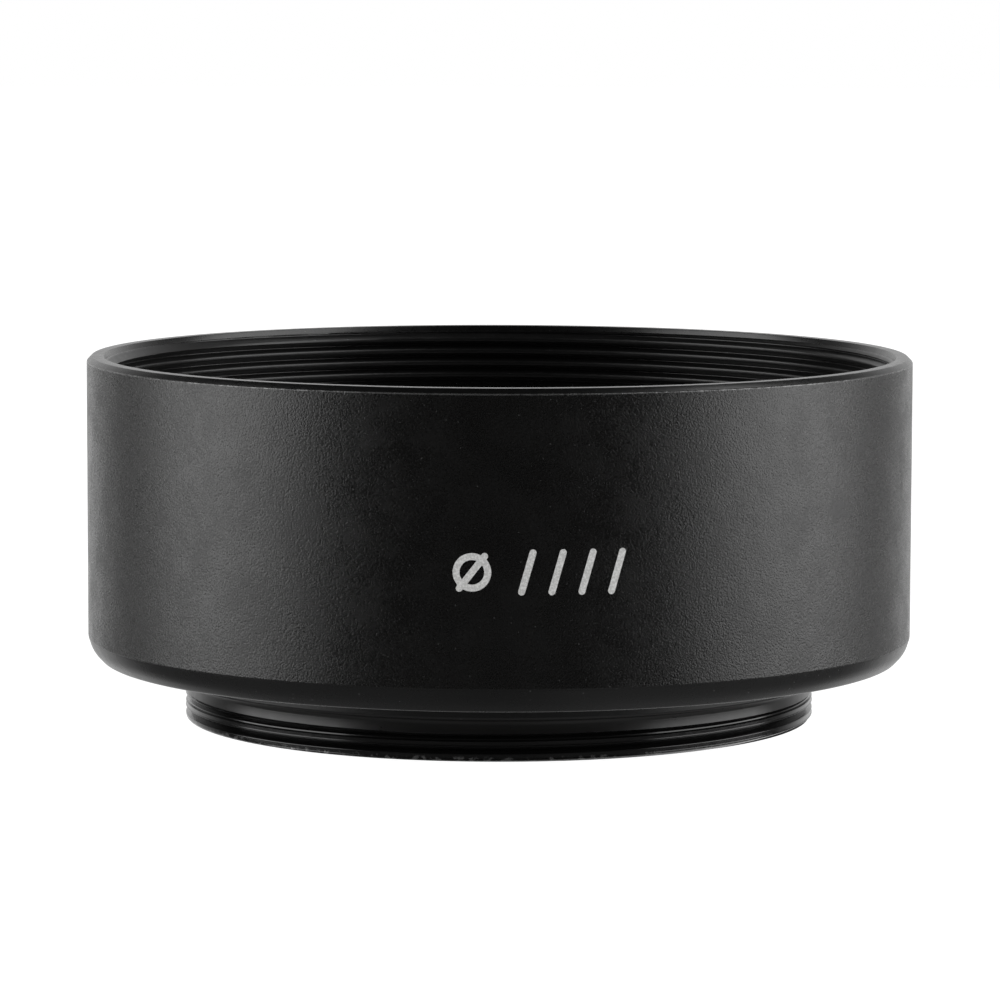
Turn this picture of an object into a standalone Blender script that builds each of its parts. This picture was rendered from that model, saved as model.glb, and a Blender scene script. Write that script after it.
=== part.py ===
"""Round screw-in lens hood: a turned barrel, the threaded mounting ring set in its foot, and an inlaid size mark.

The frame is in metres with +Z up. The origin is the centre of the ring's end face, which the hood stands on, and
+Z runs along the optical axis towards the open front.
"""

import math

import bmesh
import bpy
from mathutils import Matrix, Vector

MM = 0.001
SEGMENTS = 72

# Mounting ring. The rear thread's crest fits the lens, and the other radii step in or out from it.
REAR_THREAD_RADIUS = 18.46 * MM
REAR_THREAD_LENGTH = 1.24 * MM
REAR_RELIEF_WIDTH = 0.42 * MM
REAR_THREAD_START = math.radians(2.5)
REAR_THREAD_PHASE = 0.120 * MM
RING_WALL = 0.98 * MM
NECK_STEP = 0.06 * MM
NECK_HEIGHT = 0.89 * MM
END_CHAMFER = 0.22 * MM
FLANGE_REACH = 2.00 * MM
FLANGE_THICKNESS = 0.80 * MM
FLANGE_CHAMFER = 0.40 * MM
SEAT_GAP = 0.30 * MM

# Barrel, outside.
BODY_OVERHANG = 5.71 * MM
BODY_HEIGHT = 16.40 * MM
RIM_CHAMFER = 0.30 * MM
FOOT_CONE_HEIGHT = 1.35 * MM
FOOT_CONE_INSET = 0.81 * MM
HUB_WALL = 0.80 * MM
HUB_DEPTH = 1.03 * MM

# Barrel, inside.
BARREL_WALL = 1.77 * MM
WEB_THICKNESS = 1.02 * MM
FRONT_THREAD_WALL = 1.17 * MM
FRONT_THREAD_LENGTH = 3.93 * MM
FRONT_THREAD_START = math.radians(197.5)
FRONT_RELIEF_WIDTH = 0.80 * MM
FRONT_RELIEF_EXTRA = 0.10 * MM
LEAD_IN_EXTRA = 0.04 * MM

# Both threads are metric fine threads with one pitch, cut by a tool with a 60 degree point. Their depth is the
# height of a sharp thread of that pitch, less what is cut off its crest and root.
THREAD_PITCH = 0.75 * MM
FRONT_THREAD_CUT_OFF = 0.2395 * MM
REAR_THREAD_CUT_OFF = 0.2695 * MM
THREAD_ROOT_FLAT = 0.06 * MM
CUTTER_OVERRUN = 0.08 * MM

# Size mark, inlaid in the front of the barrel: a diameter sign and slanted strokes for the thread.
MARK_HEIGHT = 2.60 * MM
MARK_STROKE = 0.38 * MM
MARK_STROKE_END_STEPS = 8
MARK_CENTRE_HEIGHT = 6.44 * MM
MARK_START_ANGLE = math.radians(-93.5)
MARK_RING_RADIUS = 0.86 * MM
MARK_RING_STEPS = 36
MARK_SLASH_TILT = math.radians(38)
MARK_TICK_TILT = math.radians(16)
MARK_TICK_COUNT = 4
MARK_TICK_PITCH = 1.65 * MM
MARK_SIGN_TO_TICK = 3.00 * MM
POCKET_DEPTH = 0.22 * MM
POCKET_CLEARANCE = 0.05 * MM
INLAY_BELOW_SURFACE = 0.02 * MM

# Radii that follow from the sizes above.
FLANK_SLOPE = math.tan(math.radians(30))
SHARP_THREAD_HEIGHT = THREAD_PITCH / 2 / FLANK_SLOPE
REAR_THREAD_DEPTH = SHARP_THREAD_HEIGHT - REAR_THREAD_CUT_OFF
REAR_ROOT_RADIUS = REAR_THREAD_RADIUS - REAR_THREAD_DEPTH
THROAT_RADIUS = REAR_ROOT_RADIUS - RING_WALL
NECK_RADIUS = REAR_THREAD_RADIUS - NECK_STEP
FLANGE_RADIUS = NECK_RADIUS + FLANGE_REACH
HUB_BORE_RADIUS = NECK_RADIUS + SEAT_GAP
HUB_RADIUS = HUB_BORE_RADIUS + HUB_WALL
BODY_RADIUS = REAR_THREAD_RADIUS + BODY_OVERHANG
BORE_RADIUS = BODY_RADIUS - BARREL_WALL
FRONT_THREAD_RADIUS = BODY_RADIUS - FRONT_THREAD_WALL
FRONT_THREAD_DEPTH = SHARP_THREAD_HEIGHT - FRONT_THREAD_CUT_OFF
FRONT_CREST_RADIUS = FRONT_THREAD_RADIUS - FRONT_THREAD_DEPTH
LEAD_IN_RADIUS = FRONT_THREAD_RADIUS + LEAD_IN_EXTRA

# Heights above the rear thread's end face.
NECK_START = REAR_THREAD_LENGTH + REAR_RELIEF_WIDTH
HUB_BOTTOM = NECK_START + NECK_HEIGHT
SHOULDER = HUB_BOTTOM + HUB_DEPTH
CYLINDER_START = SHOULDER + FOOT_CONE_HEIGHT
RIM = CYLINDER_START + BODY_HEIGHT
WEB_TOP = SHOULDER + WEB_THICKNESS
FLANGE_BOTTOM = WEB_TOP + SEAT_GAP
FLANGE_TOP = FLANGE_BOTTOM + FLANGE_THICKNESS
MARK_CENTRE_Z = CYLINDER_START + MARK_CENTRE_HEIGHT


def clear_scene():
    for obj in list(bpy.data.objects):
        bpy.data.objects.remove(obj, do_unlink=True)


def new_collection(name, hidden=False):
    collection = bpy.data.collections.new(name)
    bpy.context.scene.collection.children.link(collection)
    collection.hide_render = hidden
    return collection


def make_material(name, colour, metallic, roughness):
    material = bpy.data.materials.new(name)
    material.use_nodes = True
    shader = material.node_tree.nodes["Principled BSDF"]
    shader.inputs["Base Color"].default_value = (*colour, 1.0)
    shader.inputs["Metallic"].default_value = metallic
    shader.inputs["Roughness"].default_value = roughness
    return material


def add_object(name, mesh, collection, material=None):
    obj = bpy.data.objects.new(name, mesh)
    collection.objects.link(obj)
    if material:
        mesh.materials.append(material)
    return obj


def as_cutter(obj):
    obj.hide_render = True
    obj.display_type = "WIRE"
    return obj


def add_boolean(obj, cutter, operation):
    modifier = obj.modifiers.new(f"{operation.lower()} {cutter.name}", "BOOLEAN")
    modifier.operation = operation
    modifier.object = cutter
    modifier.solver = "EXACT"


def turned(name, profile, collection, material=None, steps=SEGMENTS):
    """A turned solid. The profile is a closed line of (radius, height) that runs down the outer side."""
    mesh = bpy.data.meshes.new(name)
    points = [(radius, 0.0, height) for radius, height in profile]
    edges = [(i, (i + 1) % len(points)) for i in range(len(points))]
    mesh.from_pydata(points, edges, [])
    obj = add_object(name, mesh, collection, material)
    screw = obj.modifiers.new("turn", "SCREW")
    screw.axis = "Z"
    screw.angle = 2 * math.pi
    screw.steps = steps
    screw.render_steps = steps
    screw.use_merge_vertices = True
    screw.merge_threshold = 0.00001
    screw.use_smooth_shade = False
    return obj


def thread_cutter(name, section, start_angle, start_height, turns, collection):
    """A right-handed helical cutter: one face with the section's (radius, height) corners, spun along the helix."""
    bm = bmesh.new()
    corners = [bm.verts.new((radius, 0.0, height + start_height)) for radius, height in section]
    face = bm.faces.new(corners)
    turn_to_start = Matrix.Rotation(start_angle, 3, "Z")
    bmesh.ops.rotate(bm, verts=corners, cent=(0, 0, 0), matrix=turn_to_start)
    steps = round(turns * SEGMENTS)
    bmesh.ops.spin(
        bm,
        geom=[face, *face.edges, *face.verts],
        cent=(0, 0, 0),
        axis=(0, 0, 1),
        dvec=(0, 0, THREAD_PITCH / SEGMENTS),
        angle=2 * math.pi * steps / SEGMENTS,
        steps=steps,
    )
    bmesh.ops.recalc_face_normals(bm, faces=bm.faces)
    mesh = bpy.data.meshes.new(name)
    bm.to_mesh(mesh)
    bm.free()
    return as_cutter(add_object(name, mesh, collection))


def groove_half_width(depth):
    return THREAD_ROOT_FLAT / 2 + depth * FLANK_SLOPE


def groove_section(root_radius, depth, outward):
    """Corners of one thread groove, from its narrow root to just past the crest, centred on height 0."""
    direction = 1 if outward else -1
    open_radius = root_radius + direction * (depth + CUTTER_OVERRUN)
    half_root = groove_half_width(0.0)
    half_open = groove_half_width(depth + CUTTER_OVERRUN)
    return [
        (root_radius, -half_root),
        (open_radius, -half_open),
        (open_radius, half_open),
        (root_radius, half_root),
    ]


def make_barrel(collection, cutters, material):
    lead_in_bottom = RIM - (LEAD_IN_RADIUS - FRONT_CREST_RADIUS)
    relief_top = lead_in_bottom - FRONT_THREAD_LENGTH + FRONT_RELIEF_WIDTH
    relief_bottom = relief_top - FRONT_RELIEF_WIDTH
    relief_radius = FRONT_THREAD_RADIUS + FRONT_RELIEF_EXTRA
    profile = [
        (BODY_RADIUS - RIM_CHAMFER, RIM),
        (BODY_RADIUS, RIM - RIM_CHAMFER),
        (BODY_RADIUS, CYLINDER_START),
        (BODY_RADIUS - FOOT_CONE_INSET, SHOULDER),
        (HUB_RADIUS, SHOULDER),
        (HUB_RADIUS, HUB_BOTTOM),
        (HUB_BORE_RADIUS, HUB_BOTTOM),
        (HUB_BORE_RADIUS, WEB_TOP),
        (BORE_RADIUS, WEB_TOP),
        (BORE_RADIUS, relief_bottom),
        (relief_radius, relief_bottom),
        (relief_radius, relief_top),
        (FRONT_CREST_RADIUS, relief_top),
        (FRONT_CREST_RADIUS, lead_in_bottom),
        (LEAD_IN_RADIUS, RIM),
    ]
    barrel = turned("hood_barrel", profile, collection, material)
    start_height = relief_bottom + FRONT_RELIEF_WIDTH / 2
    climb = RIM + THREAD_PITCH - start_height
    section = groove_section(FRONT_THREAD_RADIUS, FRONT_THREAD_DEPTH, outward=False)
    cutter = thread_cutter(
        "front_thread_cutter", section, FRONT_THREAD_START, start_height, climb / THREAD_PITCH, cutters
    )
    add_boolean(barrel, cutter, "DIFFERENCE")
    return barrel


def make_mounting_ring(collection, cutters, material):
    profile = [
        (FLANGE_RADIUS, FLANGE_TOP),
        (FLANGE_RADIUS, FLANGE_BOTTOM),
        (NECK_RADIUS, FLANGE_BOTTOM),
        (NECK_RADIUS, NECK_START),
        (REAR_ROOT_RADIUS, NECK_START),
        (REAR_ROOT_RADIUS, REAR_THREAD_LENGTH),
        (REAR_THREAD_RADIUS, REAR_THREAD_LENGTH),
        (REAR_THREAD_RADIUS, END_CHAMFER),
        (REAR_THREAD_RADIUS - END_CHAMFER, 0.0),
        (THROAT_RADIUS, 0.0),
        (THROAT_RADIUS, FLANGE_TOP - FLANGE_CHAMFER),
        (THROAT_RADIUS + FLANGE_CHAMFER, FLANGE_TOP),
    ]
    ring = turned("mounting_ring", profile, collection, material)
    start_height = REAR_THREAD_PHASE - THREAD_PITCH
    climb = NECK_START - groove_half_width(REAR_THREAD_DEPTH) - start_height
    section = groove_section(REAR_ROOT_RADIUS, REAR_THREAD_DEPTH, outward=True)
    cutter = thread_cutter(
        "rear_thread_cutter", section, REAR_THREAD_START, start_height, climb / THREAD_PITCH, cutters
    )
    add_boolean(ring, cutter, "DIFFERENCE")
    return ring


def stroke(bm, length, width, low, high):
    """A bar with round ends, upright in the XZ plane and reaching from low to high along -Y."""
    half = (length - width) / 2
    outline = []
    for centre, first in ((half, 0.0), (-half, math.pi)):
        for i in range(MARK_STROKE_END_STEPS + 1):
            angle = first + math.pi * i / MARK_STROKE_END_STEPS
            outline.append((width / 2 * math.cos(angle), -low, centre + width / 2 * math.sin(angle)))
    face = bm.faces.new([bm.verts.new(point) for point in outline])
    pushed = bmesh.ops.extrude_face_region(bm, geom=[face])
    moved = [item for item in pushed["geom"] if isinstance(item, bmesh.types.BMVert)]
    bmesh.ops.translate(bm, verts=moved, vec=(0, low - high, 0))


def glyph_object(name, bm, tilt, angle, collection, material=None):
    """Tilts a glyph about its own normal, then carries it round the barrel to its angle at the mark's height."""
    bmesh.ops.rotate(bm, verts=bm.verts, cent=(0, 0, 0), matrix=Matrix.Rotation(tilt, 3, "Y"))
    bmesh.ops.recalc_face_normals(bm, faces=bm.faces)
    mesh = bpy.data.meshes.new(name)
    bm.to_mesh(mesh)
    bm.free()
    obj = add_object(name, mesh, collection, material)
    obj.rotation_euler = (0, 0, angle + math.pi / 2)
    obj.location = Vector((0, 0, MARK_CENTRE_Z))
    return obj


def tick_glyph(name, grow, low, high, angle, collection, material=None):
    bm = bmesh.new()
    stroke(bm, MARK_HEIGHT + 2 * grow, MARK_STROKE + 2 * grow, low, high)
    return glyph_object(name, bm, MARK_TICK_TILT, angle, collection, material)


def sign_glyph(name, grow, low, high, angle, collection, cutters, material=None):
    """The diameter sign: a round ring joined to a slash that crosses it."""
    bm = bmesh.new()
    stroke(bm, MARK_HEIGHT + 2 * grow, MARK_STROKE + 2 * grow, low, high)
    sign = glyph_object(name, bm, MARK_SLASH_TILT, angle, collection, material)
    half = MARK_STROKE / 2 + grow
    profile = [
        (MARK_RING_RADIUS + half, high),
        (MARK_RING_RADIUS + half, low),
        (MARK_RING_RADIUS - half, low),
        (MARK_RING_RADIUS - half, high),
    ]
    ring = as_cutter(turned(f"{name}_ring", profile, cutters, steps=MARK_RING_STEPS))
    ring.rotation_euler = (math.pi / 2, 0, angle + math.pi / 2)
    ring.location = Vector((0, 0, MARK_CENTRE_Z))
    add_boolean(sign, ring, "UNION")
    return sign


def make_mark(barrel, collection, cutters, material):
    """Each glyph is an inlay with a flat back, in a pocket that is a little wider and deeper."""
    surface = as_cutter(cylinder("inlay_surface", BODY_RADIUS - INLAY_BELOW_SURFACE, BODY_HEIGHT, cutters))
    floor = BODY_RADIUS - POCKET_DEPTH
    above = BODY_RADIUS + POCKET_DEPTH
    inlay_back = floor + POCKET_CLEARANCE
    first_tick = MARK_SIGN_TO_TICK / BODY_RADIUS
    pocket = sign_glyph(
        "diameter_sign_pocket", POCKET_CLEARANCE, floor, above, MARK_START_ANGLE, cutters, cutters
    )
    inlay = sign_glyph(
        "mark_diameter_sign", 0.0, inlay_back, above, MARK_START_ANGLE, collection, cutters, material
    )
    add_boolean(barrel, as_cutter(pocket), "DIFFERENCE")
    add_boolean(inlay, surface, "INTERSECT")
    for i in range(MARK_TICK_COUNT):
        angle = MARK_START_ANGLE + first_tick + i * MARK_TICK_PITCH / BODY_RADIUS
        pocket = tick_glyph(f"tick_{i + 1}_pocket", POCKET_CLEARANCE, floor, above, angle, cutters)
        inlay = tick_glyph(f"mark_tick_{i + 1}", 0.0, inlay_back, above, angle, collection, material)
        add_boolean(barrel, as_cutter(pocket), "DIFFERENCE")
        add_boolean(inlay, surface, "INTERSECT")


def cylinder(name, radius, height, collection):
    bm = bmesh.new()
    bmesh.ops.create_cone(
        bm, cap_ends=True, segments=SEGMENTS, radius1=radius, radius2=radius, depth=height
    )
    mesh = bpy.data.meshes.new(name)
    bm.to_mesh(mesh)
    bm.free()
    obj = add_object(name, mesh, collection)
    obj.location = (0, 0, CYLINDER_START + height / 2)
    return obj


def main():
    clear_scene()
    parts = new_collection("lens_hood")
    cutters = new_collection("cutters", hidden=True)
    black = make_material("black_anodised", (0.020, 0.020, 0.021), 0.6, 0.42)
    satin = make_material("black_satin_ring", (0.022, 0.022, 0.022), 0.6, 0.30)
    paint = make_material("mark_paint", (0.62, 0.62, 0.61), 0.0, 0.55)
    barrel = make_barrel(parts, cutters, black)
    make_mounting_ring(parts, cutters, satin)
    make_mark(barrel, parts, cutters, paint)


main()
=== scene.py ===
"""Fine surfaces, finishes, light and camera for a round screw-in lens hood.

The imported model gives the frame: the origin is the centre of the rear thread's end face, +Z runs along the
optical axis to the open front, and -Y is the side with the size mark. All lengths are in metres.
"""

import math

import bmesh
import bpy
from bpy.props import FloatProperty, FloatVectorProperty, IntProperty, PointerProperty
from mathutils import Matrix, Vector


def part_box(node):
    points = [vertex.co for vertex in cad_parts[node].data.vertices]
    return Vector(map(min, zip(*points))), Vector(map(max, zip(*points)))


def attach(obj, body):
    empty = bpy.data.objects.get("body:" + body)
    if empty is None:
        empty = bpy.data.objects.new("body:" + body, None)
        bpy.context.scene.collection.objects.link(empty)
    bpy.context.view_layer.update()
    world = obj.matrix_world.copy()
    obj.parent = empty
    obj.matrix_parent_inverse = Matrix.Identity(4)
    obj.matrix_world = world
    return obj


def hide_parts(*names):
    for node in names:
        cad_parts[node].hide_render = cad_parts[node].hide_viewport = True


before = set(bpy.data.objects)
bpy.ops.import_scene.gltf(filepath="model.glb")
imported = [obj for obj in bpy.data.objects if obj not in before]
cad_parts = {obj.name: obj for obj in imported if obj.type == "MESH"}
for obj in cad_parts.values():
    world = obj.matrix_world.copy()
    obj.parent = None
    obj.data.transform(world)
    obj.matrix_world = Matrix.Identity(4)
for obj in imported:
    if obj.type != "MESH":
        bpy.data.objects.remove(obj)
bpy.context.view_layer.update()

bl_info = {
    "name": "Lens hood",
    "version": (1, 0, 0),
    "blender": (4, 5, 0),
    "location": "View3D > Sidebar > Lens hood",
    "description": "Models a screw-in lens hood with cut threads, two metal finishes and a studio stage",
    "category": "Object",
}

BARREL_LOW, BARREL_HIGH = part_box("hood_barrel")
RING_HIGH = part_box("mounting_ring")[1]
SIGN_LOW, SIGN_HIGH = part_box("mark_diameter_sign")
TICK_NODES = sorted(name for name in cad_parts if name.startswith("mark_tick_"))

MM = 0.001
FULL_TURN = 2 * math.pi
BACK = math.radians(90)

# How the meshes are made.
MERGE_DISTANCE = 0.000002
CUT_DISTANCE = 0.00000001
SHARP_ANGLE = math.radians(38)
SECTORS = 16
LONG_FLANK = 0.1 * MM
FLANK_CUTS = 2
STROKE_END_STEPS = 14
SIGN_STEPS = 64
GLYPH_REACH = 0.5 * MM

# The profile of the front thread.
HALF_THREAD_ANGLE = math.radians(30)
FEMALE_HALF_ROOT = 0.03 * MM
FEMALE_ROOT_ROUNDING = 0.9 * FEMALE_HALF_ROOT
FEMALE_CREST_ROUNDING = 0.06 * MM

# The profile of the rear thread, whose last crest runs out into a relief.
LIP_STEEPNESS = 3.2
CREST_TAPER = 0.03 * MM
CREST_SOFTNESS = 0.06 * MM
LAST_CREST = 0.25 * MM
LAST_CREST_STEP = 0.02 * MM
LAST_CREST_ROWS = 3
RELIEF_REACH = 0.12 * MM
RELIEF_STEEPNESS = 1.2

# Small steps and lands of the turned profiles, and how far up the foot cone its slope changes.
LEAD_IN_STEP = 0.02 * MM
NECK_STEP = 0.02 * MM
END_LAND = 0.06 * MM
COLLAR_THICKNESS = 0.05 * MM
CONE_KNEE = 0.45

# Roughness of the surfaces, and how unevenly it is spread.
GRAIN_WEIGHT = 1.5
WALL_UNEVENNESS = 0.28
UNEVEN_MIDDLE = 1.5
TURNED_STEP = 0.05
TURNED_STREAKS = 0.10
RING_STREAKS = 0.12
FLANK_ROUGHNESS = 0.12
NECK_ROUGHNESS = 0.24
SPECK_ROUGHNESS = 0.20
WORN_ROUGHNESS = 0.22
PAINT_ROUGHNESS = 0.55
PAINT_SHADE = 0.72

# How high the lathe's lines stand, as a share of the grain on the barrel and in metres on the ring.
LINE_HEIGHT = 0.10
RING_LINE_DEPTH = 0.0012 * MM
PAINT_GRAIN_DEPTH = 0.006 * MM

# The stage. Each soft light has a bearing from -Y, a lowest and a highest elevation and half its width,
# all in degrees.
SOFT_LIGHTS = {
    "left_light": (-81.8, -14.0, 50.0, 24.8),
    "right_light": (84.8, -14.0, 62.0, 27.3),
}
FLOOR_RADIUS = 1.5
FLOOR_SIDES = 64
SENSOR_WIDTH = 36.0
NEAREST_SEEN = 0.01


def length(name, description, default, precision=5):
    """A setting that holds a length in metres."""
    return FloatProperty(
        name=name,
        description=description,
        default=default,
        precision=precision,
        subtype="DISTANCE",
        unit="LENGTH",
    )


def angle(name, description, degrees):
    """A setting that holds an angle, given here in degrees."""
    return FloatProperty(
        name=name, description=description, default=math.radians(degrees), subtype="ANGLE", unit="ROTATION"
    )


def number(name, description, default):
    """A setting that holds a plain number, never below zero."""
    return FloatProperty(name=name, description=description, default=default, min=0.0, precision=4)


def colour(name, description, default):
    """A setting that holds a colour."""
    return FloatVectorProperty(
        name=name, description=description, default=default, size=3, subtype="COLOR", min=0.0, max=1.0
    )


class ThreadSizes(bpy.types.PropertyGroup):
    pitch: length("Pitch", "Distance along the axis between two turns of either thread", 0.75 * MM)
    segments: IntProperty(name="Segments", description="Facets in one turn", default=288, min=48, max=512)
    round_steps: IntProperty(
        name="Round steps", description="Facets in a rounded edge", default=3, min=1, max=8
    )


class BarrelSizes(bpy.types.PropertyGroup):
    body_radius: length("Body radius", "Outer radius of the barrel", BARREL_HIGH.x)
    rim: length("Rim height", "Height of the front rim", BARREL_HIGH.z)
    hub_bottom: length("Hub bottom", "Height of the hub's seating face", BARREL_LOW.z)
    rim_chamfer: length("Rim chamfer", "Chamfer around the outside of the rim", 0.30 * MM)
    hub_radius: length("Hub radius", "Outer radius of the hub under the barrel", 19.50 * MM)
    hub_depth: length("Hub depth", "Height of the hub below the shoulder", 1.03 * MM)
    cone_height: length("Foot cone height", "Height of the smooth cone at the barrel's foot", 1.35 * MM)
    cone_bulge: length("Foot cone bulge", "Inset of the foot cone where its slope changes", 0.24 * MM)
    cone_inset: length("Foot cone inset", "How far the foot cone draws in", 0.81 * MM)
    web: length("Web thickness", "Thickness of the floor above the shoulder", 1.02 * MM)
    bore_radius: length("Bore radius", "Radius of the plain bore below the thread", 22.40 * MM)
    lead_in_radius: length("Lead-in radius", "Radius at the top of the thread's lead-in", 23.04 * MM)
    rim_inner_radius: length("Rim inner radius", "Inner radius of the flat rim", 23.20 * MM)
    taper_depth: length("Taper depth", "Depth of the steep taper between the rim and the thread", 0.30 * MM)
    thread_radius: length("Thread radius", "Root radius of the front thread", 23.00 * MM)
    thread_depth: length("Thread depth", "Depth of the front thread", 0.41 * MM)
    thread_length: length("Thread length", "Front thread and its relief together", 3.93 * MM)
    relief_width: length("Relief width", "Width of the relief below the front thread", 0.80 * MM)
    relief_extra: length("Relief depth", "How far the relief cuts past the thread's root", 0.10 * MM)
    thread_start: angle("Thread start", "Angle where the groove passes the middle of the relief", 197.5)
    joint_gap: length("Joint gap", "Gap around the mounting ring's neck", 0.08 * MM)


class RingSizes(bpy.types.PropertyGroup):
    flange_radius: length("Flange radius", "Outer radius of the flange inside the barrel", RING_HIGH.x)
    flange_top: length("Flange top", "Height of the flange's top face", RING_HIGH.z)
    flange_thickness: length("Flange thickness", "Thickness of the flange", 0.80 * MM)
    flange_chamfer: length("Flange chamfer", "Chamfer where the flange meets the throat", 0.40 * MM)
    neck_radius: length("Neck radius", "Outer radius of the plain neck", 18.40 * MM)
    neck_start: length("Neck start", "Height of the neck's lower edge", 1.64 * MM)
    collar_bottom: length("Collar height", "Height of the collar under the hub", BARREL_LOW.z - 0.09 * MM)
    collar_reach: length("Collar reach", "How far the collar stands out from the neck", 0.38 * MM)
    collar_fillet: length("Collar fillet", "Fillet between the neck and the collar", 0.34 * MM)
    throat_radius: length("Throat radius", "Radius of the opening through the ring", 17.10 * MM)
    thread_radius: length("Thread radius", "Crest radius of the rear thread", 18.48 * MM)
    thread_depth: length("Thread depth", "Depth of the rear thread", 0.36 * MM)
    thread_phase: length("Thread phase", "Height of a groove's middle at the start angle", 0.165 * MM)
    thread_start: angle("Thread start", "Angle where the thread phase is measured", 2.5)
    end_chamfer: length("End chamfer", "Chamfer around the thread's end", 0.12 * MM)
    end_height: length("End height", "Height of the thread's end face", 0.06 * MM)
    crest_lip: length("Crest lip", "How far the lower edge of each crest stands proud", 0.015 * MM)


class MarkSizes(bpy.types.PropertyGroup):
    height: length("Height", "Height of the strokes", 2.60 * MM)
    stroke: length("Stroke", "Width of a stroke", 0.38 * MM)
    ring_radius: length("Sign radius", "Radius along the middle of the diameter sign's ring", 0.86 * MM)
    slash_tilt: angle("Slash tilt", "Lean of the diameter sign's slash", 38)
    tick_tilt: angle("Tick tilt", "Lean of the thread strokes", 16)
    proud: length("Proud", "How far the paint stands above the metal", 0.012 * MM)
    depth: length("Depth", "How far the paint reaches into the metal", 0.05 * MM)


class Finishes(bpy.types.PropertyGroup):
    wall: colour("Blasted wall", "Anodised colour of the blasted outer wall", (0.0032, 0.0031, 0.0030))
    turned: colour("Turned metal", "Anodised colour of the smooth turned faces", (0.0034, 0.0034, 0.0034))
    wear: colour("Worn edge", "Colour where an edge has lost its anodising", (0.20, 0.20, 0.20))
    paint: colour("Mark paint", "Colour of the paint in the size mark", (0.63, 0.63, 0.62))
    wall_roughness: number("Wall roughness", "Roughness of the blasted wall", 0.28)
    turned_roughness: number("Turned roughness", "Roughness of the turned faces", 0.28)
    grain: length("Grain size", "Size of one grain of the blasted wall", 0.105 * MM)
    grain_depth: length("Grain depth", "Depth of the blasted grain", 0.026 * MM, 6)


class StageSettings(bpy.types.PropertyGroup):
    lens: FloatProperty(name="Lens", description="Focal length in millimetres", default=179.35, min=10.0)
    distance: length("Camera distance", "Distance from the camera to the point it looks at", 293.33 * MM)
    elevation: angle("Camera elevation", "How far the camera looks down", 6.146)
    roll: angle("Camera roll", "Turn of the camera about its own axis", 0.151)
    aim_x: length("Aim, sideways", "Sideways place of the point the camera looks at", 0.035 * MM)
    aim_z: length("Aim, height", "Height of the point the camera looks at", 12.711 * MM)
    light_distance: length("Light distance", "Distance from the axis to each soft light", 800 * MM)
    left_light: number("Left light", "Brightness of the soft light on the left", 2.95)
    right_light: number("Right light", "Brightness of the soft light on the right", 2.85)
    backdrop_light: number("Backdrop light", "Brightness of the white surroundings behind the hood", 0.85)
    front_light: number("Front light", "Brightness of the dim surroundings in front", 0.025)
    below_light: number("Light from below", "Brightness of what the hood's underside reflects", 0.095)
    floor: colour("Floor", "Colour of the floor", (0.25, 0.25, 0.25))


# ---------------------------------------------------------------- shapes


def add_wire(bm, corners, round_steps):
    """An open line through (radius, height, rounding) corners in the XZ plane, with its corners rounded."""
    verts = [bm.verts.new((radius, 0.0, height)) for radius, height, _ in corners]
    for low, high in zip(verts, verts[1:]):
        bm.edges.new((low, high))
    for vert, (_, _, rounding) in zip(verts, corners):
        if rounding:
            bmesh.ops.bevel(
                bm,
                geom=[vert],
                offset=rounding,
                offset_type="OFFSET",
                segments=round_steps,
                profile=0.5,
                affect="VERTICES",
                material=-1,
            )


def turn_wire(corners, segments, round_steps, climb=0.0, long_cuts=0):
    """A bmesh of a wire turned once around +Z, which climbs on the way.

    One sector is spun, then copied round. Edges of the wire that are long get extra cuts.
    """
    bm = bmesh.new()
    add_wire(bm, corners, round_steps)
    if long_cuts:
        long_edges = [edge for edge in bm.edges if edge.calc_length() > LONG_FLANK]
        bmesh.ops.subdivide_edges(bm, edges=long_edges, cuts=long_cuts)
    bmesh.ops.spin(
        bm,
        geom=[*bm.verts, *bm.edges],
        cent=(0, 0, 0),
        axis=(0, 0, 1),
        dvec=(0, 0, climb / segments),
        angle=FULL_TURN / SECTORS,
        steps=segments // SECTORS,
        use_merge=False,
    )
    sector = [*bm.verts, *bm.edges, *bm.faces]
    for i in range(1, SECTORS):
        copied = bmesh.ops.duplicate(bm, geom=sector)["geom"]
        verts = [item for item in copied if isinstance(item, bmesh.types.BMVert)]
        turn = Matrix.Rotation(FULL_TURN * i / SECTORS, 3, "Z")
        bmesh.ops.rotate(bm, verts=verts, cent=(0, 0, 0), matrix=turn)
        bmesh.ops.translate(bm, verts=verts, vec=(0, 0, climb * i / SECTORS))
    bmesh.ops.remove_doubles(bm, verts=bm.verts, dist=MERGE_DISTANCE)
    return bm


def add_shell(bm, corners, segments, round_steps):
    """Adds a turned shell, open at both ends of its profile."""
    shell = turn_wire(corners, segments, round_steps)
    mesh = bpy.data.meshes.new("shell")
    shell.to_mesh(mesh)
    shell.free()
    bm.from_mesh(mesh)
    bpy.data.meshes.remove(mesh)


def female_corners(root_radius, crest_radius, middle):
    """One pitch around a groove cut into a bore, lowest corner first, with its edges rounded."""
    half_open = FEMALE_HALF_ROOT + (root_radius - crest_radius) * math.tan(HALF_THREAD_ANGLE)
    return [
        (crest_radius, middle - half_open, FEMALE_CREST_ROUNDING),
        (root_radius, middle - FEMALE_HALF_ROOT, FEMALE_ROOT_ROUNDING),
        (root_radius, middle + FEMALE_HALF_ROOT, FEMALE_ROOT_ROUNDING),
        (crest_radius, middle + half_open, FEMALE_CREST_ROUNDING),
    ]


def male_opening(ring):
    """Half the width of the rear thread's sharp groove, at its crest."""
    return ring.thread_depth * math.tan(HALF_THREAD_ANGLE)


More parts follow.
